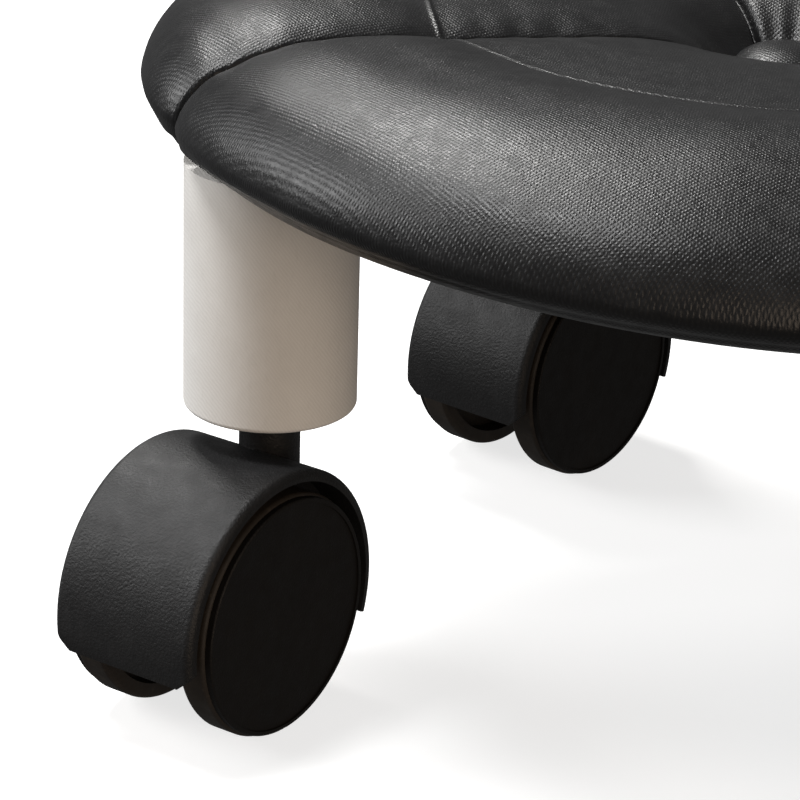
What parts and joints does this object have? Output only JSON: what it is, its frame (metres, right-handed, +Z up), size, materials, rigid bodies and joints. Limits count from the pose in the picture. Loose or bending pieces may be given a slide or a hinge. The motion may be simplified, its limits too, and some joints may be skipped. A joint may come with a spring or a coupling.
{
  "type": "rolling stool",
  "caption": "Low round rolling stool: tufted black leather-look pad, off-white cylindrical legs and hooded twin-wheel swivel castors.",
  "frame": {"origin": "on the floor, under the centre of the seat", "axes": "+Z up out of the seat; the legs stand between the X and Y axes, 90 degrees apart"},
  "size_m": [0.2568, 0.2568, 0.1374],
  "materials": {
    "seat_leather": "fine pebbled grain, satin",
    "button_leather": "fine pebbled grain, satin",
    "foam": "open cell foam",
    "plywood": "raw plywood",
    "twine": "waxed twine",
    "dust_cloth": "pressed non-woven cloth",
    "zinc_steel": "zinc plated",
    "leg_finish": "off-white, matte with a fine woven grain",
    "socket_plastic": "plain",
    "hood_nylon": "spark-eroded texture",
    "wheel_nylon": "satin, slightly dusty tread",
    "cap_nylon": "fine texture"
  },
  "bodies": {
    "stool": {"cover_inner_panel_1": "seat_leather", "cover_inner_panel_2": "seat_leather", "cover_inner_panel_3": "seat_leather", "cover_inner_panel_4": "seat_leather", "cover_outer_panel_1": "seat_leather", "cover_outer_panel_2": "seat_leather", "cover_outer_panel_3": "seat_leather", "cover_outer_panel_4": "seat_leather", "tuft_button": "button_leather", "foam_pad": "foam", "seat_board": "plywood", "tuft_cord": "twine", "dust_cover": "dust_cloth", "cord_anchor": "zinc_steel", "staples": "zinc_steel", "tee_nuts": "zinc_steel", "hanger_bolts": "zinc_steel", "leg_1": "leg_finish", "castor_1_socket": "socket_plastic", "castor_1_stem": "zinc_steel", "castor_1_grip_ring": "zinc_steel", "leg_2": "leg_finish", "castor_2_socket": "socket_plastic", "castor_2_stem": "zinc_steel", "castor_2_grip_ring": "zinc_steel", "leg_3": "leg_finish", "castor_3_socket": "socket_plastic", "castor_3_stem": "zinc_steel", "castor_3_grip_ring": "zinc_steel", "leg_4": "leg_finish", "castor_4_socket": "socket_plastic", "castor_4_stem": "zinc_steel", "castor_4_grip_ring": "zinc_steel"},
    "castor_1": {"castor_1_hood": "hood_nylon", "castor_1_axle": "zinc_steel"},
    "castor_1_left_wheel": {"castor_1_wheel_left": "wheel_nylon", "castor_1_cap_left": "cap_nylon"},
    "castor_1_right_wheel": {"castor_1_wheel_right": "wheel_nylon", "castor_1_cap_right": "cap_nylon"},
    "castor_2": {"castor_2_hood": "hood_nylon", "castor_2_axle": "zinc_steel"},
    "castor_2_left_wheel": {"castor_2_wheel_left": "wheel_nylon", "castor_2_cap_left": "cap_nylon"},
    "castor_2_right_wheel": {"castor_2_wheel_right": "wheel_nylon", "castor_2_cap_right": "cap_nylon"},
    "castor_3": {"castor_3_hood": "hood_nylon", "castor_3_axle": "zinc_steel"},
    "castor_3_left_wheel": {"castor_3_wheel_left": "wheel_nylon", "castor_3_cap_left": "cap_nylon"},
    "castor_3_right_wheel": {"castor_3_wheel_right": "wheel_nylon", "castor_3_cap_right": "cap_nylon"},
    "castor_4": {"castor_4_hood": "hood_nylon", "castor_4_axle": "zinc_steel"},
    "castor_4_left_wheel": {"castor_4_wheel_left": "wheel_nylon", "castor_4_cap_left": "cap_nylon"},
    "castor_4_right_wheel": {"castor_4_wheel_right": "wheel_nylon", "castor_4_cap_right": "cap_nylon"}
  },
  "joints": [
    {"name": "castor_1_swivel", "type": "hinge", "parent": "stool", "child": "castor_1", "pos_m": [-0.07531, -0.07531, 0.055], "axis": [0, 0, 1], "continuous": true},
    {"name": "castor_1_left_roll", "type": "hinge", "parent": "castor_1", "child": "castor_1_left_wheel", "pos_m": [-0.07753, -0.09216, 0.025], "axis": [0.9914, -0.1305, 0], "continuous": true},
    {"name": "castor_1_right_roll", "type": "hinge", "parent": "castor_1", "child": "castor_1_right_wheel", "pos_m": [-0.07753, -0.09216, 0.025], "axis": [0.9914, -0.1305, 0], "continuous": true},
    {"name": "castor_2_swivel", "type": "hinge", "parent": "stool", "child": "castor_2", "pos_m": [-0.07531, 0.07531, 0.055], "axis": [0, 0, 1], "continuous": true},
    {"name": "castor_2_left_roll", "type": "hinge", "parent": "castor_2", "child": "castor_2_left_wheel", "pos_m": [-0.07884, 0.05868, 0.025], "axis": [0.9781, -0.2079, 0], "continuous": true},
    {"name": "castor_2_right_roll", "type": "hinge", "parent": "castor_2", "child": "castor_2_right_wheel", "pos_m": [-0.07884, 0.05868, 0.025], "axis": [0.9781, -0.2079, 0], "continuous": true},
    {"name": "castor_3_swivel", "type": "hinge", "parent": "stool", "child": "castor_3", "pos_m": [0.07531, 0.07531, 0.055], "axis": [0, 0, 1], "continuous": true},
    {"name": "castor_3_left_roll", "type": "hinge", "parent": "castor_3", "child": "castor_3_left_wheel", "pos_m": [0.09173, 0.07971, 0.025], "axis": [-0.2588, 0.9659, 0], "continuous": true},
    {"name": "castor_3_right_roll", "type": "hinge", "parent": "castor_3", "child": "castor_3_right_wheel", "pos_m": [0.09173, 0.07971, 0.025], "axis": [-0.2588, 0.9659, 0], "continuous": true},
    {"name": "castor_4_swivel", "type": "hinge", "parent": "stool", "child": "castor_4", "pos_m": [0.07531, -0.07531, 0.055], "axis": [0, 0, 1], "continuous": true},
    {"name": "castor_4_left_roll", "type": "hinge", "parent": "castor_4", "child": "castor_4_left_wheel", "pos_m": [0.09205, -0.07826, 0.025], "axis": [0.1736, 0.9848, 0], "continuous": true},
    {"name": "castor_4_right_roll", "type": "hinge", "parent": "castor_4", "child": "castor_4_right_wheel", "pos_m": [0.09205, -0.07826, 0.025], "axis": [0.1736, 0.9848, 0], "continuous": true}
  ]
}
